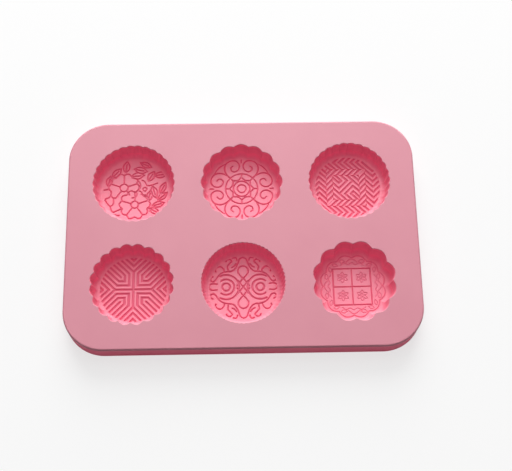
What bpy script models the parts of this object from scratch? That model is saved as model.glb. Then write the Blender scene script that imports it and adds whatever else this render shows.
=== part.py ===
"""Flexible soap mould: one silicone tray of six scalloped cups with engraved floors.

The tray is a single moulding. It is modelled here as its named regions, which meet
face to face: the deck, the skirt under its edge, and for each cup a wall and a floor.
Dimensions are in millimetres. Z is up, the cups' undersides are at zero and the
front is -Y.
"""

import math

import bmesh
import bpy
from mathutils import Matrix, Vector

MM = 0.001
EPS = 1e-6

# Tray
PITCH_X = 87.5  # cup centre to cup centre, left to right
PITCH_Y = 85.5  # cup centre to cup centre, front to back
EDGE_MARGIN = 53.0  # outer cup centre to the tray's edge
CORNER_R = 32.0
DECK_T = 2.5
EDGE_ROUND = 1.4  # along the deck's upper edge
SKIRT_T = 2.6
HEM_LIFT = 0.5  # the skirt ends this far above the cups' undersides

# Cups
CUP_R = 33.6  # to the lobe tips at the mouth
CUP_DEPTH = 15.5
FLOOR_T = 3.0
WALL_T = 2.2
LIP_R = 0.7  # bevel of the mouth
WALL_DRAFT = 1.2  # the wall closes in by this much from lip to floor
FILLET_R = 4.6  # between wall and floor
FOOT_CHAMFER = 0.8  # round the underside

# Engraving
GROOVE_W = 1.0
GROOVE_D = 0.8

HEIGHT = FLOOR_T + CUP_DEPTH
DECK_UNDER = HEIGHT - DECK_T
LENGTH = 2 * PITCH_X + 2 * EDGE_MARGIN
WIDTH = PITCH_Y + 2 * EDGE_MARGIN
DISH_TOP = FLOOR_T + FILLET_R  # where a cup's wall stands on its floor
FLOOR_R = CUP_R - LIP_R - WALL_DRAFT - FILLET_R  # flat part of the floor, to the lobe tips

# name: column, row, lobes, lobe depth, lobe tip angle in degrees, points per lobe,
# share of the lobe depth left at the floor
CUPS = {
    "blossom": (-1, 1, 30, 0.9, 0.0, 3, 0.2),
    "mandala": (0, 1, 16, 1.9, 90.0, 5, 0.3),
    "weave": (1, 1, 30, 0.9, 0.0, 3, 0.2),
    "labyrinth": (-1, -1, 20, 2.1, 9.0, 4, 0.1),
    "scroll": (0, -1, 60, 0.45, 0.0, 2, 0.2),
    "medallion": (1, -1, 12, 2.8, 15.0, 7, 0.85),
}

COLOR = (0.72, 0.33, 0.39, 1.0)


def clear_scene():
    for obj in list(bpy.data.objects):
        bpy.data.objects.remove(obj, do_unlink=True)


def new_collection(name):
    collection = bpy.data.collections.new(name)
    bpy.context.scene.collection.children.link(collection)
    return collection


def silicone(name):
    material = bpy.data.materials.new(name)
    material.use_nodes = True
    shader = material.node_tree.nodes["Principled BSDF"]
    shader.inputs["Base Color"].default_value = COLOR
    shader.inputs["Roughness"].default_value = 0.45
    return material


def add_object(name, bm, collection):
    """An object from a bmesh drawn in millimetres."""
    bmesh.ops.scale(bm, vec=Vector((MM, MM, MM)), verts=bm.verts)
    bmesh.ops.recalc_face_normals(bm, faces=bm.faces)
    mesh = bpy.data.meshes.new(name)
    bm.to_mesh(mesh)
    bm.free()
    obj = bpy.data.objects.new(name, mesh)
    collection.objects.link(obj)
    return obj


def add_part(name, bm, collection):
    obj = add_object(name, bm, collection)
    obj.data.materials.append(silicone(name))
    return obj


def add_cutter(name, bm, collection):
    obj = add_object(name, bm, collection)
    obj.hide_render = True
    obj.display_type = "WIRE"
    return obj


def cut(obj, collection):
    """Removes every cutter in the collection from the object."""
    modifier = obj.modifiers.new("cut", "BOOLEAN")
    modifier.operation = "DIFFERENCE"
    modifier.solver = "EXACT"
    modifier.operand_type = "COLLECTION"
    modifier.collection = collection


def smooth_walls(obj, sharp_angle):
    for face in obj.data.polygons:
        face.use_smooth = True
    obj.data.set_sharp_from_angle(angle=math.radians(sharp_angle))


def cup_centre(cup):
    column, row = CUPS[cup][:2]
    return column * PITCH_X, row * PITCH_Y / 2


def scallop(cup, radius, z, share=1.0):
    """Points round a cup at height z, with the lobe tips at the radius."""
    _, _, lobes, depth, turn, steps, _ = CUPS[cup]
    x, y = cup_centre(cup)
    count = lobes * steps
    points = []
    for i in range(count):
        phase = math.pi * (i / steps - 0.5)
        angle = math.radians(turn) + 2 * math.pi * (i / count - 0.5 / lobes)
        r = radius - share * depth * (1 - abs(math.cos(phase)))
        points.append((x + r * math.cos(angle), y + r * math.sin(angle), z))
    return points


def loft(rings, capped):
    """A body through the rings in turn, closed by two caps or by joining last to first."""
    bm = bmesh.new()
    rows = [[bm.verts.new(point) for point in ring] for ring in rings]
    pairs = list(zip(rows, rows[1:]))
    if capped:
        bm.faces.new(rows[0])
        bm.faces.new(rows[-1])
    else:
        pairs.append((rows[-1], rows[0]))
    for low, high in pairs:
        for i in range(len(low)):
            j = (i + 1) % len(low)
            bm.faces.new((low[i], low[j], high[j], high[i]))
    return bm


def slab(size_x, size_y, low, high, corner, top_round):
    """A plate with rounded corners and, if asked, a rounded upper edge."""
    bm = bmesh.new()
    place = Matrix.Translation((0, 0, (low + high) / 2))
    bmesh.ops.create_cube(bm, size=1.0, matrix=place @ Matrix.Diagonal((size_x, size_y, high - low, 1)))
    upright = [e for e in bm.edges if abs(e.verts[0].co.z - e.verts[1].co.z) > EPS]
    bmesh.ops.bevel(
        bm, geom=upright, offset=corner, offset_type="OFFSET", segments=12, profile=0.5, affect="EDGES"
    )
    if top_round:
        rim = [e for e in bm.edges if all(v.co.z > high - EPS for v in e.verts)]
        bmesh.ops.bevel(
            bm, geom=rim, offset=top_round, offset_type="OFFSET", segments=3, profile=0.5, affect="EDGES"
        )
    return bm


def wall_radius(z):
    """Lobe-tip radius of a cup's inner wall at height z."""
    rise = (z - DISH_TOP) / (HEIGHT - LIP_R - DISH_TOP)
    return CUP_R - LIP_R - WALL_DRAFT * (1 - rise)


def mouth_cutter(cup, collection):
    """What a cup's mouth takes out of the deck, with its bevelled lip."""
    low = DECK_UNDER - 1
    profile = [(wall_radius(low), low), (wall_radius(HEIGHT - LIP_R), HEIGHT - LIP_R)]
    profile += [(CUP_R, HEIGHT), (CUP_R, HEIGHT + 1)]
    rings = [scallop(cup, r, z) for r, z in profile]
    add_cutter(cup + "_mouth_cutter", loft(rings, True), collection)


def build_deck(parts, cutters):
    deck = add_part("deck", slab(LENGTH, WIDTH, DECK_UNDER, HEIGHT, CORNER_R, EDGE_ROUND), parts)
    for cup in CUPS:
        mouth_cutter(cup, cutters)
    cut(deck, cutters)
    smooth_walls(deck, 35)


def build_skirt(parts, cutters):
    skirt = add_part("skirt", slab(LENGTH, WIDTH, HEM_LIFT, DECK_UNDER, CORNER_R, 0), parts)
    inside = slab(
        LENGTH - 2 * SKIRT_T, WIDTH - 2 * SKIRT_T, HEM_LIFT - 1, DECK_UNDER + 1, CORNER_R - SKIRT_T, 0
    )
    add_cutter("skirt_cutter", inside, cutters)
    cut(skirt, cutters)
    smooth_walls(skirt, 35)


def build_wall(cup, parts):
    """The ring between a cup's floor and the deck."""
    profile = [
        (wall_radius(DISH_TOP), DISH_TOP),
        (wall_radius(DECK_UNDER), DECK_UNDER),
        (wall_radius(DECK_UNDER) + WALL_T, DECK_UNDER),
        (wall_radius(DISH_TOP) + WALL_T, DISH_TOP),
    ]
    rings = [scallop(cup, r, z) for r, z in profile]
    wall = add_part(cup + "_cup_wall", loft(rings, False), parts)
    smooth_walls(wall, 30)


def build_floor(cup, parts, cutters):
    """A cup's floor with the fillet that rises from it, and its engraving."""
    outer = wall_radius(DISH_TOP) + WALL_T
    profile = [
        (outer - FOOT_CHAMFER, 0),
        (outer, FOOT_CHAMFER),
        (outer, DISH_TOP),
        (wall_radius(DISH_TOP), DISH_TOP),
    ]
    rings = [scallop(cup, r, z) for r, z in profile]
    for degrees in (30, 60, 90):
        a = math.radians(degrees)
        share = 1 - (1 - CUPS[cup][6]) * (1 - math.cos(a))
        radius, z = FLOOR_R + FILLET_R * math.cos(a), DISH_TOP - FILLET_R * math.sin(a)
        rings.append(scallop(cup, radius, z, share))
    floor = add_part(cup + "_cup_floor", loft(rings, True), parts)
    ENGRAVE[cup](cup, cutters)
    cut(floor, cutters)
    smooth_walls(floor, 30)


def place(cup, bm, x, y, degrees):
    """Turns a shape about its own middle and moves it to a point on a cup's floor."""
    cx, cy = cup_centre(cup)
    bmesh.ops.rotate(bm, matrix=Matrix.Rotation(math.radians(degrees), 3, "Z"), verts=bm.verts)
    bmesh.ops.translate(bm, vec=Vector((cx + x, cy + y, FLOOR_T)), verts=bm.verts)
    return bm


def bar(cup, collection, x, y, length, degrees, width=GROOVE_W):
    """A straight groove centred on x, y."""
    bm = bmesh.new()
    bmesh.ops.create_cube(bm, size=1.0, matrix=Matrix.Diagonal((length, width, 2 * GROOVE_D, 1)))
    add_cutter(cup + "_bar", place(cup, bm, x, y, degrees), collection)


def pocket(cup, collection, x, y, radius, sides, stretch=1.0, degrees=0.0):
    """A shallow recess with a round or many-sided outline."""
    bm = bmesh.new()
    bmesh.ops.create_cone(
        bm, cap_ends=True, segments=sides, radius1=radius, radius2=radius, depth=2 * GROOVE_D
    )
    bmesh.ops.scale(bm, vec=Vector((stretch, 1, 1)), verts=bm.verts)
    add_cutter(cup + "_pocket", place(cup, bm, x, y, degrees), collection)


def ring(cup, collection, x, y, radius, steps):
    """A round groove; radius is to its middle line."""
    half = GROOVE_W / 2
    profile = [
        (radius - half, -GROOVE_D),
        (radius - half, GROOVE_D),
        (radius + half, GROOVE_D),
        (radius + half, -GROOVE_D),
    ]
    rows = []
    for r, z in profile:
        angles = [2 * math.pi * i / steps for i in range(steps)]
        rows.append([(r * math.cos(a), r * math.sin(a), z) for a in angles])
    add_cutter(cup + "_ring", place(cup, loft(rows, False), x, y, 0), collection)


def engrave_blossom(cup, collection):
    """Two five-petalled flowers."""
    for x, y, tip in ((-9.2, 2.4, 50), (-0.6, -13.4, 54)):
        pocket(cup, collection, x, y, 2.1, 10)
        for i in range(5):
            a = math.radians(tip + 72 * i)
            pocket(cup, collection, x + 6 * math.cos(a), y + 6 * math.sin(a), 2.0, 8, 1.5, tip + 72 * i)


def engrave_mandala(cup, collection):
    """Rings with eight small recesses between them and four pairs of curls at the edge."""
    ring(cup, collection, 0, 0, 3.2, 16)
    ring(cup, collection, 0, 0, 12.7, 30)
    for i in range(8):
        a = math.radians(45 * i)
        pocket(cup, collection, 8.2 * math.cos(a), 8.2 * math.sin(a), 1.0, 6)
    for i in range(4):
        for side in (-1, 1):
            a = math.radians(90 * i + 17 * side)
            pocket(cup, collection, 20.5 * math.cos(a), 20.5 * math.sin(a), 2.0, 10)


def engrave_weave(cup, collection):
    """Blocks of short slanting bars, turned by turns."""
    block = 9.0
    for column in range(-2, 3):
        for row in range(-2, 3):
            if math.hypot(column, row) > 2.3:
                continue
            turn = 45 if (column + row) % 2 else -45
            normal = math.radians(turn + 90)
            for i in (-1, 1):
                x = column * block + i * 1.6 * math.cos(normal)
                y = row * block + i * 1.6 * math.sin(normal)
                bar(cup, collection, x, y, 6.6, turn)


def engrave_labyrinth(cup, collection):
    """A cross of straight grooves, with slanting grooves filling the quarters."""
    bar(cup, collection, 0, 0, 30.0, 0)
    for side in (-1, 1):
        bar(cup, collection, 0, side * 7.8, 14.4, 90)
    for i in range(4):
        turn = 45 + 90 * i
        a = math.radians(turn)
        for offset in (-6.6, -3.3, 0, 3.3, 6.6):
            x = 15.6 * math.cos(a) - offset * math.sin(a)
            y = 15.6 * math.sin(a) + offset * math.cos(a)
            bar(cup, collection, x, y, 14.0 - abs(offset), turn)


def engrave_scroll(cup, collection):
    """Two pairs of rings, with a drop above and below the middle and a curl at each corner."""
    for side in (-1, 1):
        ring(cup, collection, side * 13.2, 0.8, 3.0, 14)
        ring(cup, collection, side * 13.2, 0.8, 7.2, 22)
        pocket(cup, collection, 0, side * 13.6, 2.2, 10, 1.5, 90)
        for height in (-1, 1):
            pocket(cup, collection, side * 19.4, height * 15.0, 2.0, 10)
    pocket(cup, collection, 0, 0, 1.8, 4, 1.0, 0)


def engrave_medallion(cup, collection):
    """A square divided in four, with a plain lozenge in each quarter."""
    half = 14.8
    for turn in (0, 90):
        for offset in (-half, half):
            a = math.radians(turn + 90)
            bar(cup, collection, offset * math.cos(a), offset * math.sin(a), 2 * half - 2 * GROOVE_W, turn)
    bar(cup, collection, 0, 0, 2 * half - 2 * GROOVE_W, 0)
    for side in (-1, 1):
        bar(cup, collection, 0, side * half / 2, half - 2 * GROOVE_W, 90)
        for height in (-1, 1):
            pocket(cup, collection, side * half / 2, height * half / 2, 3.2, 4)


ENGRAVE = {
    "blossom": engrave_blossom,
    "mandala": engrave_mandala,
    "weave": engrave_weave,
    "labyrinth": engrave_labyrinth,
    "scroll": engrave_scroll,
    "medallion": engrave_medallion,
}


def main():
    clear_scene()
    parts = new_collection("soap_mould")
    build_deck(parts, new_collection("deck_cutters"))
    build_skirt(parts, new_collection("skirt_cutters"))
    for cup in CUPS:
        build_wall(cup, parts)
        build_floor(cup, parts, new_collection(cup + "_cutters"))


main()
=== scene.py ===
"""Looks of the silicone soap mould: one visible piece for each region of the tray."""
import math

import bmesh
import bpy
import numpy as np
from mathutils import Matrix, Vector


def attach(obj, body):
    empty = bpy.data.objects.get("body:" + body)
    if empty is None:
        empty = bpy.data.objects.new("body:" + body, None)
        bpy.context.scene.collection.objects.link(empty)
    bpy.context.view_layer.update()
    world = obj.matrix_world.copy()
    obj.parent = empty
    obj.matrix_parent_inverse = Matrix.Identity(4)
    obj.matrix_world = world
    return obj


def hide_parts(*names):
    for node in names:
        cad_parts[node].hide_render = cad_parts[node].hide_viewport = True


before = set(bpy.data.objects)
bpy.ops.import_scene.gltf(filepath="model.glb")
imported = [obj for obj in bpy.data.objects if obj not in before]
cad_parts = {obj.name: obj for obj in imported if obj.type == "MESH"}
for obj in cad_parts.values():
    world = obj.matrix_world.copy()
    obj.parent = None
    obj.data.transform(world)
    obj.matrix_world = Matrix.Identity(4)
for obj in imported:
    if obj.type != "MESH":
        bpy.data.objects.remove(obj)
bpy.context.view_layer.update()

# Sizes in millimetres, as in the part
PITCH_X = 87.5
PITCH_Y = 85.5
LENGTH = 281.0
WIDTH = 191.5
CORNER_R = 32.0
HEIGHT = 18.5
DECK_T = 2.5
EDGE_ROUND = 1.4
SKIRT_T = 2.6
HEM_LIFT = 0.5
CUP_R = 33.6
FLOOR_T = 3.0
WALL_T = 2.2
LIP_R = 0.7
WALL_DRAFT = 1.2
FILLET_R = 4.6
FOOT_ROUND = 0.8
GROOVE_W = 1.3
GROOVE_D = 1.0

DECK_UNDER = HEIGHT - DECK_T
DISH_TOP = FLOOR_T + FILLET_R
FLOOR_R = CUP_R - LIP_R - WALL_DRAFT - FILLET_R

# name: column, row, lobes, lobe depth, lobe tip angle in degrees, points round the cup, share of the lobes left at the floor
CUPS = {
    "blossom": (-1, 1, 30, 0.9, 0.0, 600, 0.2),
    "mandala": (0, 1, 16, 1.9, 90.0, 640, 0.3),
    "weave": (1, 1, 30, 0.9, 0.0, 600, 0.2),
    "labyrinth": (-1, -1, 20, 2.1, 9.0, 600, 0.1),
    "scroll": (0, -1, 60, 0.45, 0.0, 600, 0.2),
    "medallion": (1, -1, 12, 2.8, 15.0, 600, 0.85),
}


# Colours, as linear red, green, blue and alpha
SILICONE_DEEP = (0.785, 0.285, 0.365, 1.0)
SILICONE_PALE = (0.815, 0.305, 0.385, 1.0)
# Painted shade: the darker colour laid into the engraved grooves, in step with their depth
GROOVE_PAINTED_SHADE = (0.62, 0.115, 0.185, 1.0)
# Painted glow: the red emission colour that stands for light coming through the silicone
PAINTED_GLOW = (0.185, 0.004, 0.026, 1.0)


# ---------------------------------------------------------------- material

def silicone(name, seed):
    """Satin pink silicone with faint mottling and a fine skin.

    A weak red emission, set point by point, is painted glow: it stands for the light that comes through the walls and
    lifts the shaded reds of the cups and skirt.
    """
    material = bpy.data.materials.new(name)
    material.use_nodes = True
    tree = material.node_tree
    nodes, links = tree.nodes, tree.links
    shader = nodes["Principled BSDF"]
    place = nodes.new("ShaderNodeTexCoord")
    cloud = nodes.new("ShaderNodeTexNoise")
    cloud.noise_dimensions = "4D"
    cloud.inputs["W"].default_value = seed
    cloud.inputs["Scale"].default_value = 28.0
    cloud.inputs["Detail"].default_value = 4.0
    links.new(place.outputs["Object"], cloud.inputs["Vector"])
    ramp = nodes.new("ShaderNodeValToRGB")
    ramp.color_ramp.elements[0].position = 0.3
    ramp.color_ramp.elements[0].color = SILICONE_DEEP
    ramp.color_ramp.elements[1].position = 0.7
    ramp.color_ramp.elements[1].color = SILICONE_PALE
    links.new(cloud.outputs["Fac"], ramp.inputs["Fac"])
    # painted shade in the grooves: the engraving depth mixes the base colour towards a darker red
    cut = nodes.new("ShaderNodeAttribute")
    cut.attribute_name = "engraving"
    groove_shade = nodes.new("ShaderNodeMix")
    groove_shade.data_type = "RGBA"
    groove_shade.inputs["B"].default_value = GROOVE_PAINTED_SHADE
    links.new(cut.outputs["Fac"], groove_shade.inputs["Factor"])
    links.new(ramp.outputs["Color"], groove_shade.inputs["A"])
    links.new(groove_shade.outputs["Result"], shader.inputs["Base Color"])
    # painted glow: the emission strength is read point by point from a layer on each piece
    through = nodes.new("ShaderNodeAttribute")
    through.attribute_name = "painted_glow"
    shader.inputs["Emission Color"].default_value = PAINTED_GLOW
    links.new(through.outputs["Fac"], shader.inputs["Emission Strength"])
    grain = nodes.new("ShaderNodeTexNoise")
    grain.inputs["Scale"].default_value = 900.0
    grain.inputs["Detail"].default_value = 3.0
    links.new(place.outputs["Object"], grain.inputs["Vector"])
    bump = nodes.new("ShaderNodeBump")
    bump.inputs["Strength"].default_value = 0.12
    bump.inputs["Distance"].default_value = 0.0002
    links.new(grain.outputs["Fac"], bump.inputs["Height"])
    links.new(bump.outputs["Normal"], shader.inputs["Normal"])
    shader.inputs["Roughness"].default_value = 0.5
    shader.inputs["IOR"].default_value = 1.45
    shader.inputs["Specular IOR Level"].default_value = 0.8
    return material



# ---------------------------------------------------------------- meshes

def mesh_object(name, points, quads, fans, seed):
    """An object from points in millimetres, four-sided faces and three-sided faces."""
    mesh = bpy.data.meshes.new(name)
    loops = np.concatenate([quads.ravel(), fans.ravel()]).astype(np.int32)
    starts = np.concatenate([
        np.arange(len(quads)) * 4,
        len(quads) * 4 + np.arange(len(fans)) * 3,
    ]).astype(np.int32)
    mesh.vertices.add(len(points))
    mesh.vertices.foreach_set("co", (points * 0.001).astype(np.float32).ravel())
    mesh.loops.add(len(loops))
    mesh.loops.foreach_set("vertex_index", loops)
    mesh.polygons.add(len(starts))
    mesh.polygons.foreach_set("loop_start", starts)
    mesh.update(calc_edges=True)
    mesh.validate()
    mesh.polygons.foreach_set("use_smooth", np.ones(len(mesh.polygons), bool))
    obj = bpy.data.objects.new(name, mesh)
    bpy.context.scene.collection.objects.link(obj)
    mesh.materials.append(silicone(name, seed))
    return obj


def round_rows(rows, wrap, first_point=None, last_point=None):
    """Points, quads and fans of a surface through closed rings of equal count."""
    grid = np.stack(rows)
    n_rows, count = grid.shape[:2]
    points = grid.reshape(-1, 3)
    i = np.arange(count)
    j = (i + 1) % count
    quads = []
    pairs = [(r, r + 1) for r in range(n_rows - 1)]
    if wrap:
        pairs.append((n_rows - 1, 0))
    for low, high in pairs:
        quads.append(np.stack([low * count + i, low * count + j, high * count + j, high * count + i], 1))
    fans = np.zeros((0, 3), int)
    if first_point is not None:
        points = np.concatenate([points, [first_point, last_point]])
        a = np.full(count, n_rows * count)
        fans = np.concatenate([
            np.stack([a, j, i], 1),
            np.stack([a + 1, (n_rows - 1) * count + i, (n_rows - 1) * count + j], 1),
        ])
    return points, np.concatenate(quads), fans


def set_layer(obj, name, values):
    layer = obj.data.attributes.new(name, "FLOAT", "POINT")
    layer.data.foreach_set("value", np.clip(values, 0, 1).astype(np.float32))


def sharpen(obj, degrees):
    obj.data.set_sharp_from_angle(angle=math.radians(degrees))


# ---------------------------------------------------------------- cup outlines

def cup_centre(cup):
    column, row = CUPS[cup][:2]
    return column * PITCH_X, row * PITCH_Y / 2


def angles_of(cup):
    lobes, turn, count = CUPS[cup][2], CUPS[cup][4], CUPS[cup][5]
    return math.radians(turn) + 2 * np.pi * (np.arange(count) / count - 0.5 / lobes)


def dent(cup):
    """How far each point of the outline lies inside the lobe tips."""
    lobes, depth, turn = CUPS[cup][2:5]
    phase = lobes * (angles_of(cup) - math.radians(turn)) / 2
    wave = np.abs(np.cos(phase))
    return depth * (1 - wave)


def scallop(cup, radius, z, share=1.0):
    x, y = cup_centre(cup)
    angle = angles_of(cup)
    r = radius - share * dent(cup)
    return np.stack([x + r * np.cos(angle), y + r * np.sin(angle), np.full(len(angle), float(z))], 1)


def wall_radius(z):
    rise = (z - DISH_TOP) / (HEIGHT - LIP_R - DISH_TOP)
    return CUP_R - LIP_R - WALL_DRAFT * (1 - rise)


# ---------------------------------------------------------------- engraving

def smooth_line(points, steps=8):
    """A smooth curve through the points."""
    p = np.array(points, float)
    p = np.concatenate([[2 * p[0] - p[1]], p, [2 * p[-1] - p[-2]]])
    t = np.arange(steps)[:, None] / steps
    out = []
    for a, b, c, d in zip(p, p[1:], p[2:], p[3:]):
        out.append(0.5 * (2 * b + (c - a) * t + (2 * a - 5 * b + 4 * c - d) * t**2 + (3 * b - a - 3 * c + d) * t**3))
    return np.concatenate(out + [p[-2:-1]])


def arc(x, y, radius, start, end, steps=40):
    a = np.radians(np.linspace(start, end, steps))
    return np.stack([x + radius * np.cos(a), y + radius * np.sin(a)], 1)


def turned(line, degrees, flip=False):
    line = np.array(line, float)
    if flip:
        line = line * (1, -1)
    a = math.radians(degrees)
    return line @ np.array([[math.cos(a), math.sin(a)], [-math.sin(a), math.cos(a)]])


def mirrored(line):
    return np.array(line, float) * (-1, 1)


def distance(x, y, lines):
    """Distance from each point to the nearest of the lines."""
    best = np.full(x.shape, 99.0)
    for line in lines:
        line = np.asarray(line, float)
        low, high = line.min(0) - 1.5, line.max(0) + 1.5
        near = np.nonzero((x > low[0]) & (x < high[0]) & (y > low[1]) & (y < high[1]))[0]
        if not len(near):
            continue
        px, py = x[near], y[near]
        d = np.full(len(near), 99.0)
        for (ax, ay), (bx, by) in zip(line, line[1:]):
            dx, dy = bx - ax, by - ay
            t = np.clip(((px - ax) * dx + (py - ay) * dy) / max(dx * dx + dy * dy, 1e-9), 0, 1)
            d = np.minimum(d, np.hypot(px - ax - t * dx, py - ay - t * dy))
        best[near] = np.minimum(best[near], d)
    return best


def groove(d, width=GROOVE_W, depth=GROOVE_D):
    """Depth of a round-bottomed groove at a distance from its middle line."""
    t = np.clip((d - 0.24 * width) / (0.36 * width), 0, 1)
    return depth * (1 - t * t * (3 - 2 * t))


def stripes(phase, share=0.5, depth=GROOVE_D):
    """Depth of a run of grooves, one in each whole turn of the phase."""
    d = np.abs((phase + 0.5) % 1 - 0.5)
    t = np.clip((d - share / 2 + 0.08) / 0.16, 0, 1)
    return depth * (1 - t * t * (3 - 2 * t))


def engrave_blossom(x, y):
    """Two five-petalled flowers with leaves and tendrils round them."""
    lines = []
    for cx, cy, eye in ((-0.3, -12.9, 3.0), (-9.3, 2.1, 3.3)):
        lines.append(arc(cx, cy, eye, 0, 360))
        for i in range(5):
            tip = 126 + 72 * i
            if cy > 0 and i == 2:
                continue
            shape = [(11.2, -35), (12.6, -23), (12.3, -12), (10.9, 0), (12.3, 12), (12.6, 23), (11.2, 35)]
            edge = [(cx + r * math.cos(math.radians(tip + a)), cy + r * math.sin(math.radians(tip + a))) for r, a in shape]
            lines.append(smooth_line(edge))
        for i in range(5):
            a = math.radians(90 + 72 * i)
            reach = 8.0 if cy > 0 and i == 3 else 11.2
            lines.append(np.array([
                (cx + eye * math.cos(a), cy + eye * math.sin(a)),
                (cx + reach * math.cos(a), cy + reach * math.sin(a)),
            ]))
    # petals of a third flower, cut off by the left edge
    lines.append(smooth_line([(-25.6, 0.4), (-23.0, 0.8), (-20.6, -0.2), (-19.8, -3.4), (-21.0, -6.0), (-24.4, -7.6)]))
    lines.append(smooth_line([(-24.6, -8.6), (-22.8, -11.6), (-20.4, -14.4), (-19.2, -18.0), (-17.4, -19.5)]))
    lines.append(smooth_line([(-18.0, -6.6), (-17.6, -9.6), (-18.0, -12.4), (-20.4, -14.4)]))
    lines.append(smooth_line([(-17.4, -19.2), (-15.0, -18.2), (-12.0, -16.8), (-10.4, -16.6)]))
    lines.append(smooth_line([(-16.4, -21.4), (-14.6, -22.2), (-12.6, -22.2)]))
    # tendrils and leaves on the right
    lines.append(smooth_line([(1.2, 9.0), (3.4, 6.6), (4.2, 3.0), (3.0, 0.4), (1.2, -0.9)]))
    lines.append(smooth_line([(5.4, 8.7), (7.4, 7.6), (8.8, 5.0), (9.6, 3.9), (13.2, 4.2), (18.0, 6.0)]))
    lines.append(arc(7.8, 0.6, 1.6, 0, 360, 20))
    lines.append(smooth_line([(4.8, -3.6), (7.2, -5.7), (10.2, -6.3)]))
    leaves = [
        (1.8, 12.6, 5.5, 2.5, 6), (4.2, 17.6, 5.7, 2.5, -12), (8.4, 22.4, 5.2, 2.1, -24),
        (13.0, 12.2, 5.0, 2.4, 62), (20.6, 13.4, 5.2, 2.4, 8), (15.6, -2.0, 5.5, 2.4, -72),
        (11.8, -5.2, 5.0, 2.1, 78), (22.6, 1.6, 5.5, 2.2, 66), (19.0, -12.8, 5.2, 2.2, 14),
        (15.8, -18.6, 5.0, 2.2, -30), (-7.6, 20.8, 5.2, 2.5, 84), (-15.6, 15.2, 5.5, 2.5, 48),
        (22.4, -5.8, 5.2, 2.1, 40), (-21.6, 8.0, 4.8, 2.2, 78),
    ]
    for cx, cy, half, broad, turn in leaves:
        side = smooth_line([(-half, 0), (-half * 0.45, broad * 0.85), (half * 0.25, broad), (half, 0)])
        for flip in (False, True):
            lines.append(turned(side, turn, flip) + (cx, cy))
        lines.append(turned([(-half, 0), (half * 0.45, 0)], turn) + (cx, cy))
    return groove(distance(x, y, lines), 1.2)


def engrave_mandala(x, y):
    """A star in rings, with four pairs of curls."""
    lines = [arc(0, 0, 3.5, 0, 360), arc(0, 0, 6.7, 0, 360), arc(0, 0, 13.2, 0, 360, 80)]
    curl = smooth_line([
        (9.6, 9.4), (12.2, 11.8), (15.6, 13.6), (19.4, 13.9), (23.0, 12.2), (25.2, 8.6), (25.0, 4.8), (22.6, 2.2),
        (19.4, 1.6), (16.6, 2.9), (15.2, 5.6), (16.2, 8.2), (18.6, 8.8), (20.2, 7.2),
    ])
    for i in range(4):
        for flip in (False, True):
            lines.append(turned(curl, 90 * i, flip))
        lines.append(turned(arc(0, 0, 26.4, 33, 57, 16), 90 * i))
        lines.append(turned([(23.4, 0), (26.0, 0)], 90 * i))
    for i in range(8):
        lines.append(turned([(7.3, -2.9), (10.0, 0), (7.3, 2.9)], 45 * i))
        lines.append(turned([(10.0, 0), (13.2, 0)], 45 * i))
    return groove(distance(x, y, lines), 1.15)


def engrave_weave(x, y):
    """Square rings of slanting bars that turn back at each ring, the third ring out of step."""
    period = 4.8
    u, v = x + 1.25, y
    side = np.maximum(np.abs(u), np.abs(v))
    along = np.where(np.abs(u) >= np.abs(v), v * np.sign(u), u * np.sign(v))
    wave = np.where(side < 5.8, side, 11.6 - side)
    wave = np.where(side > 11.0, side + 1.2, wave)
    wave = np.where(side > 16.3, 22.2 - side, wave)
    wave = np.where(side > 22.3, side - 22.4, wave)
    cut = stripes((along - wave) / period, 0.5)
    return cut * np.clip((26.9 - np.hypot(x, y)) / 0.6, 0, 1)


def engrave_labyrinth(x, y):
    """A cross whose arms repeat as nested corners that turn out along the diagonals."""
    period = 3.45
    a, b = np.maximum(np.abs(x), np.abs(y)), np.minimum(np.abs(x), np.abs(y))
    slant = (a - b) / math.sqrt(2)
    # the slanting run starts where it meets the straight one
    level = np.minimum(b, 3 * period - slant)
    cut = stripes(level / period, 0.5)
    return cut * np.clip((26.8 - np.hypot(x, y)) / 0.6, 0, 1)


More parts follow.
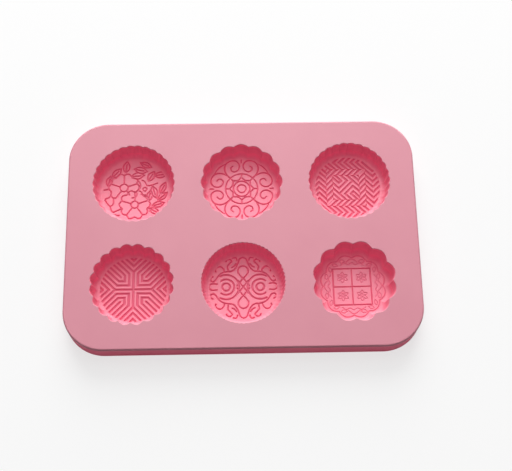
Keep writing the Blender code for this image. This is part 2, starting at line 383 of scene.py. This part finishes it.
def engrave_scroll(x, y):
    """Two targets, a small lattice, drops above and below it, and scrolls round the edge."""
    lines = []
    rings = [
        arc(13.6, 0.8, 3.1, 0, 360),
        arc(13.6, 0.8, 6.4, 52, 308),
        arc(13.6, 0.8, 10.2, 62, 298),
    ]
    rings += [mirrored(ring) for ring in rings]
    one_side = []
    sweep = smooth_line([
        (0, -25.0), (2.6, -23.6), (3.8, -20.4), (5.8, -16.0), (8.8, -13.4), (13.0, -12.9), (17.2, -11.6), (20.2, -8.8),
        (22.2, -5.8), (24.2, -4.7), (26.0, -5.8), (26.0, -7.8), (24.3, -8.8),
    ])
    hook = smooth_line([(15.0, -12.9), (15.6, -15.2), (18.0, -17.2), (20.6, -16.8), (22.4, -14.8), (21.8, -13.2)])
    curl = smooth_line([(12.0, -14.4), (12.4, -17.4), (10.6, -19.8), (9.0, -21.8), (10.6, -23.4), (12.8, -23.0), (13.6, -21.6)])
    tick = smooth_line([(9.0, -16.6), (7.2, -17.6), (5.6, -19.6)])
    foot = smooth_line([(4.8, -22.6), (5.8, -24.8), (8.2, -24.6)])
    ear = smooth_line([(21.0, 3.4), (24.4, 3.8), (27.0, 2.4), (27.0, -0.2), (24.6, -1.6), (21.0, -1.4)])
    for line in (sweep, hook, curl, tick, foot):
        one_side.append(line)
        one_side.append(line * (1, -1) + (0, 0.8))
    one_side.append(ear)
    for line in one_side:
        lines.append(line)
        lines.append(mirrored(line))
    drop = smooth_line([(0, -6.4), (2.2, -8.8), (4.0, -11.6), (3.4, -15.2), (0, -17.0), (-3.4, -15.2), (-4.0, -11.6), (-2.2, -8.8), (0, -6.4)])
    lines.append(drop)
    lines.append(drop * (1, -1) + (0, 1.4))
    for offset in (-7.4, 0, 7.4):
        reach = 2.1 if offset else 4.0
        for sign in (-1, 1):
            middle = -offset / 2 / 1.3
            ends = [(sign * (middle + s * reach), 0.8 + offset / 2 + s * reach * 1.3) for s in (-1, 1)]
            lines.append(np.array(ends))
    return np.maximum(groove(distance(x, y, rings), 1.6), groove(distance(x, y, lines), 1.3))


def engrave_medallion(x, y):
    """A square in four quarters with a small blossom in each, sprigs round it and a lobed border."""
    half, cx, cy = 15.1, -0.5, -0.3
    lines = [np.array([(-half, -half), (half, -half), (half, half), (-half, half), (-half, -half)])]
    lines.append(np.array([(-half, 0), (half, 0)]))
    lines.append(np.array([(0, -half), (0, half)]))
    lines = [turned(line, 0.6) + (cx, cy) for line in lines]
    fine = []
    for sx in (-1, 1):
        for sy in (-1, 1):
            ox, oy = cx + sx * 7.6, cy + sy * 7.6
            fine.append(arc(ox, oy, 0.9, 0, 360, 16))
            for i in range(6):
                petal = smooth_line([(1.1, 0), (2.6, 1.1), (4.4, 0.0), (2.6, -1.1), (1.1, 0)])
                fine.append(turned(petal, 60 * i + 30) + (ox, oy))
    stem = smooth_line([(-9.4, 17.4), (-6.2, 19.4), (-2.8, 18.2), (0, 19.9), (2.8, 18.2), (6.2, 19.4), (9.4, 17.4)])
    crown = smooth_line([(-4.4, 20.2), (-2.2, 22.2), (0, 22.9), (2.2, 22.2), (4.4, 20.2)])
    leaf = smooth_line([(5.4, 20.8), (7.6, 22.2), (10.2, 21.2), (8.2, 19.6), (5.4, 20.8)])
    bud = smooth_line([(11.4, 17.2), (13.4, 18.8), (15.8, 18.4), (14.4, 16.6), (11.4, 17.2)])
    for i in range(4):
        for line in (stem, crown, leaf, bud, mirrored(leaf), mirrored(bud)):
            fine.append(turned(line, 90 * i))
    a = np.radians(np.linspace(0, 360, 361))
    r = 26.3 - 2.3 * (1 - np.abs(np.cos(6 * (a - math.radians(15)))))
    border = np.stack([r * np.cos(a), r * np.sin(a)], 1)
    deep = groove(distance(x, y, lines), 1.05)
    thin = groove(distance(x, y, fine), 0.85, 0.5)
    rim = groove(distance(x, y, [border]), 1.2, 0.6)
    return np.maximum(np.maximum(deep, thin), rim)


ENGRAVE = {
    "blossom": engrave_blossom,
    "mandala": engrave_mandala,
    "weave": engrave_weave,
    "labyrinth": engrave_labyrinth,
    "scroll": engrave_scroll,
    "medallion": engrave_medallion,
}


# ---------------------------------------------------------------- cups

def build_floor(cup, seed):
    outer = wall_radius(DISH_TOP) + WALL_T
    kept = CUPS[cup][6]
    rows = [scallop(cup, r, 0, share) for r, share in ((4, 0), (14, 0), (24, 0.2), (outer - FOOT_ROUND - 1, 1))]
    for degrees in (0, 22.5, 45, 67.5, 90):
        a = math.radians(degrees)
        rows.append(scallop(cup, outer - FOOT_ROUND * (1 - math.sin(a)), FOOT_ROUND * (1 - math.cos(a))))
    rows.append(scallop(cup, outer, DISH_TOP - 0.3))
    rows.append(scallop(cup, outer, DISH_TOP))
    rows.append(scallop(cup, wall_radius(DISH_TOP), DISH_TOP))
    rows.append(scallop(cup, wall_radius(DISH_TOP), DISH_TOP - 0.2))
    for degrees in range(8, 90, 8):
        a = math.radians(degrees)
        share = 1 - (1 - kept) * (1 - math.cos(a))
        rows.append(scallop(cup, FLOOR_R + FILLET_R * math.cos(a), DISH_TOP - FILLET_R * math.sin(a), share))
    x0, y0 = cup_centre(cup)
    steps = 108
    depths = [np.zeros(CUPS[cup][5]) for _ in rows]
    for k in range(steps):
        s = 1 - k / steps
        share = np.clip((s - 0.78) / 0.22, 0, 1)
        row = scallop(cup, FLOOR_R * s, FLOOR_T, kept * share * share * (3 - 2 * share))
        cut = ENGRAVE[cup](row[:, 0] - x0, row[:, 1] - y0) * min(1.0, (1 - s) / 0.012)
        row[:, 2] -= cut
        rows.append(row)
        depths.append(cut)
    middle = float(ENGRAVE[cup](np.zeros(1), np.zeros(1))[0])
    surface = round_rows(rows, False, (x0, y0, 0), (x0, y0, FLOOR_T - middle))
    obj = mesh_object(cup + "_floor", *surface, seed)
    share = np.concatenate(depths + [[0.0, middle]]) / GROOVE_D
    # the engraving depth also sets how much painted shade each groove gets
    set_layer(obj, "engraving", share)
    # painted glow: the whole cup floor glows red at full strength
    set_layer(obj, "painted_glow", np.ones(len(share)))
    sharpen(obj, 62)
    return obj


def build_wall(cup, seed):
    rows = [scallop(cup, wall_radius(z), z) for z in np.linspace(DISH_TOP, DECK_UNDER, 6)]
    rows += [scallop(cup, wall_radius(z) + WALL_T, z) for z in np.linspace(DECK_UNDER, DISH_TOP, 4)]
    obj = mesh_object(cup + "_wall", *round_rows(rows, True), seed)
    # painted glow: the cup walls glow red at 0.65 of full strength
    set_layer(obj, "painted_glow", np.full(len(obj.data.vertices), 0.65))
    sharpen(obj, 50)
    return obj


# ---------------------------------------------------------------- deck and skirt

def slab(size_x, size_y, low, high, corner, top_round):
    bm = bmesh.new()
    place = Matrix.Translation((0, 0, (low + high) / 2))
    bmesh.ops.create_cube(bm, size=1.0, matrix=place @ Matrix.Diagonal((size_x, size_y, high - low, 1)))
    upright = [e for e in bm.edges if abs(e.verts[0].co.z - e.verts[1].co.z) > 1e-6]
    bmesh.ops.bevel(
        bm, geom=upright, offset=corner, offset_type="OFFSET", segments=36, profile=0.5, affect="EDGES"
    )
    if top_round:
        rim = [e for e in bm.edges if all(v.co.z > high - 1e-6 for v in e.verts)]
        bmesh.ops.bevel(
            bm, geom=rim, offset=top_round, offset_type="OFFSET", segments=6, profile=0.5, affect="EDGES"
        )
    bmesh.ops.scale(bm, vec=Vector((0.001, 0.001, 0.001)), verts=bm.verts)
    bmesh.ops.recalc_face_normals(bm, faces=bm.faces)
    mesh = bpy.data.meshes.new("slab")
    bm.to_mesh(mesh)
    bm.free()
    return mesh


def cut_and_smooth(name, blank, cutters, seed):
    """A new piece from a blank and the meshes cut from it."""
    obj = bpy.data.objects.new(name, blank)
    bpy.context.scene.collection.objects.link(obj)
    helpers = []
    for mesh in cutters:
        helper = bpy.data.objects.new(name + "_cutter", mesh)
        bpy.context.scene.collection.objects.link(helper)
        helpers.append(helper)
        modifier = obj.modifiers.new("cut", "BOOLEAN")
        modifier.operation = "DIFFERENCE"
        modifier.solver = "EXACT"
        modifier.object = helper
    graph = bpy.context.evaluated_depsgraph_get()
    mesh = bpy.data.meshes.new_from_object(obj.evaluated_get(graph))
    obj.modifiers.clear()
    obj.data = mesh
    for helper in helpers:
        bpy.data.objects.remove(helper, do_unlink=True)
    mesh.polygons.foreach_set("use_smooth", np.ones(len(mesh.polygons), bool))
    mesh.set_sharp_from_angle(angle=math.radians(40))
    mesh.materials.clear()
    mesh.materials.append(silicone(name, seed))
    weighted = obj.modifiers.new("normals", "WEIGHTED_NORMAL")
    weighted.keep_sharp = True
    return obj


def mouth_mesh(cup):
    low = DECK_UNDER - 1
    profile = [(wall_radius(low), low), (wall_radius(HEIGHT - LIP_R), HEIGHT - LIP_R)]
    for degrees in (15, 30, 45, 60, 75, 90):
        a = math.radians(degrees)
        profile.append((CUP_R - LIP_R * math.cos(a), HEIGHT - LIP_R + LIP_R * math.sin(a)))
    profile.append((CUP_R, HEIGHT + 1))
    bm = bmesh.new()
    rows = [[bm.verts.new(p * 0.001) for p in scallop(cup, r, z)] for r, z in profile]
    bm.faces.new(rows[0])
    bm.faces.new(rows[-1])
    for low_row, high_row in zip(rows, rows[1:]):
        for i in range(len(low_row)):
            j = (i + 1) % len(low_row)
            bm.faces.new((low_row[i], low_row[j], high_row[j], high_row[i]))
    bmesh.ops.recalc_face_normals(bm, faces=bm.faces)
    mesh = bpy.data.meshes.new("mouth")
    bm.to_mesh(mesh)
    bm.free()
    return mesh


def build_deck():
    blank = slab(LENGTH, WIDTH, DECK_UNDER, HEIGHT, CORNER_R, EDGE_ROUND)
    deck = cut_and_smooth("tray_deck", blank, [mouth_mesh(cup) for cup in CUPS], 1.0)
    points = np.empty(len(deck.data.vertices) * 3, np.float32)
    deck.data.vertices.foreach_get("co", points)
    x, y, z = points.reshape(-1, 3).T * 1000
    near = np.min([np.hypot(x - cup_centre(cup)[0], y - cup_centre(cup)[1]) for cup in CUPS], axis=0)
    # painted glow: the deck's lip inside each cup mouth glows red, rising to full strength a little below the top
    set_layer(deck, "painted_glow", np.where(near < CUP_R + 0.5, (HEIGHT - z) / 0.5, 0.0) * 0.8)
    return deck


def build_skirt():
    blank = slab(LENGTH, WIDTH, HEM_LIFT, DECK_UNDER, CORNER_R, 0)
    inside = slab(
        LENGTH - 2 * SKIRT_T, WIDTH - 2 * SKIRT_T, HEM_LIFT - 1, DECK_UNDER + 1, CORNER_R - SKIRT_T, 0
    )
    skirt = cut_and_smooth("tray_skirt", blank, [inside], 2.0)
    # painted glow: the whole skirt glows red at 0.8 of full strength
    set_layer(skirt, "painted_glow", np.full(len(skirt.data.vertices), 0.8))
    return skirt


# ---------------------------------------------------------------- light and camera

def build_floor_plane():
    """A white floor that looks near-white to the camera, keeps the tray's shadow and lights it as plain paper would."""
    bpy.ops.mesh.primitive_plane_add(size=6.0, location=(0, 0, -0.0002))
    floor = bpy.context.object
    floor.name = "studio_floor"
    material = bpy.data.materials.new("studio_floor")
    material.use_nodes = True
    nodes, links = material.node_tree.nodes, material.node_tree.links
    nodes.clear()
    out = nodes.new("ShaderNodeOutputMaterial")
    matt = nodes.new("ShaderNodeBsdfDiffuse")
    matt.inputs["Color"].default_value = (0.72, 0.72, 0.72, 1.0)
    faint = nodes.new("ShaderNodeBsdfDiffuse")
    faint.inputs["Color"].default_value = (0.28, 0.28, 0.28, 1.0)
    paper = nodes.new("ShaderNodeEmission")
    paper.inputs["Color"].default_value = (1.0, 1.0, 1.0, 1.0)
    paper.inputs["Strength"].default_value = 0.72
    both = nodes.new("ShaderNodeAddShader")
    mix = nodes.new("ShaderNodeMixShader")
    path = nodes.new("ShaderNodeLightPath")
    links.new(faint.outputs["BSDF"], both.inputs[0])
    links.new(paper.outputs["Emission"], both.inputs[1])
    links.new(path.outputs["Is Camera Ray"], mix.inputs["Fac"])
    links.new(matt.outputs["BSDF"], mix.inputs[1])
    links.new(both.outputs["Shader"], mix.inputs[2])
    links.new(mix.outputs["Shader"], out.inputs["Surface"])
    floor.data.materials.append(material)


def area_light(name, toward, distance_m, size, power, color=(1, 1, 1)):
    """A round light that shines on the tray from the given direction."""
    data = bpy.data.lights.new(name, "AREA")
    data.shape = "DISK"
    data.size = size
    data.energy = power
    data.color = color
    light = bpy.data.objects.new(name, data)
    direction = Vector(toward).normalized()
    light.location = direction * distance_m
    light.rotation_euler = direction.to_track_quat("Z", "Y").to_euler()
    bpy.context.scene.collection.objects.link(light)


def build_light():
    area_light("key", (0.0, 1.0, 0.56), 3.0, 2.8, 127.0)
    area_light("top", (0.0, 0.36, 1.0), 1.8, 0.9, 6.5)
    world = bpy.data.worlds.new("studio")
    bpy.context.scene.world = world
    world.use_nodes = True
    tree = world.node_tree
    nodes, links = tree.nodes, tree.links
    nodes.clear()
    out = nodes.new("ShaderNodeOutputWorld")
    mix = nodes.new("ShaderNodeMixShader")
    fill = nodes.new("ShaderNodeBackground")
    fill.inputs["Color"].default_value = (1.0, 1.0, 1.0, 1.0)
    fill.inputs["Strength"].default_value = 0.10
    seen = nodes.new("ShaderNodeBackground")
    seen.inputs["Color"].default_value = (0.96, 0.96, 0.96, 1.0)
    seen.inputs["Strength"].default_value = 1.0
    path = nodes.new("ShaderNodeLightPath")
    links.new(path.outputs["Is Camera Ray"], mix.inputs["Fac"])
    links.new(fill.outputs["Background"], mix.inputs[1])
    links.new(seen.outputs["Background"], mix.inputs[2])
    links.new(mix.outputs["Shader"], out.inputs["Surface"])


def build_camera():
    elevation, azimuth, roll = math.radians(70.0), math.radians(-2.97), math.radians(1.96)
    back = Vector((
        math.sin(azimuth) * math.cos(elevation),
        -math.cos(azimuth) * math.cos(elevation),
        math.sin(elevation),
    ))
    right = Vector((math.cos(azimuth), math.sin(azimuth), 0))
    up = back.cross(right)
    turned_right = right * math.cos(roll) + up * math.sin(roll)
    turned_up = up * math.cos(roll) - right * math.sin(roll)
    data = bpy.data.cameras.new("camera")
    data.sensor_width = 36.0
    data.lens = 1063.65 * 36.0 / 512.0
    data.clip_start = 0.01
    camera = bpy.data.objects.new("camera", data)
    camera.matrix_world = Matrix((
        (turned_right.x, turned_up.x, back.x, 0),
        (turned_right.y, turned_up.y, back.y, 0),
        (turned_right.z, turned_up.z, back.z, 0),
        (0, 0, 0, 1),
    ))
    camera.location = Vector((0.01072, -0.00405, HEIGHT * 0.001)) + back * 0.8464
    bpy.context.scene.collection.objects.link(camera)
    bpy.context.scene.camera = camera


def ride_and_replace(obj, node):
    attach(obj, "root")
    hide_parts(node)


def main():
    ride_and_replace(build_deck(), "deck")
    ride_and_replace(build_skirt(), "skirt")
    for i, cup in enumerate(CUPS):
        ride_and_replace(build_wall(cup, 3.0 + i), cup + "_cup_wall")
        ride_and_replace(build_floor(cup, 9.0 + i), cup + "_cup_floor")
    build_floor_plane()
    build_light()
    build_camera()
    bpy.context.scene.view_settings.view_transform = "Standard"


main()
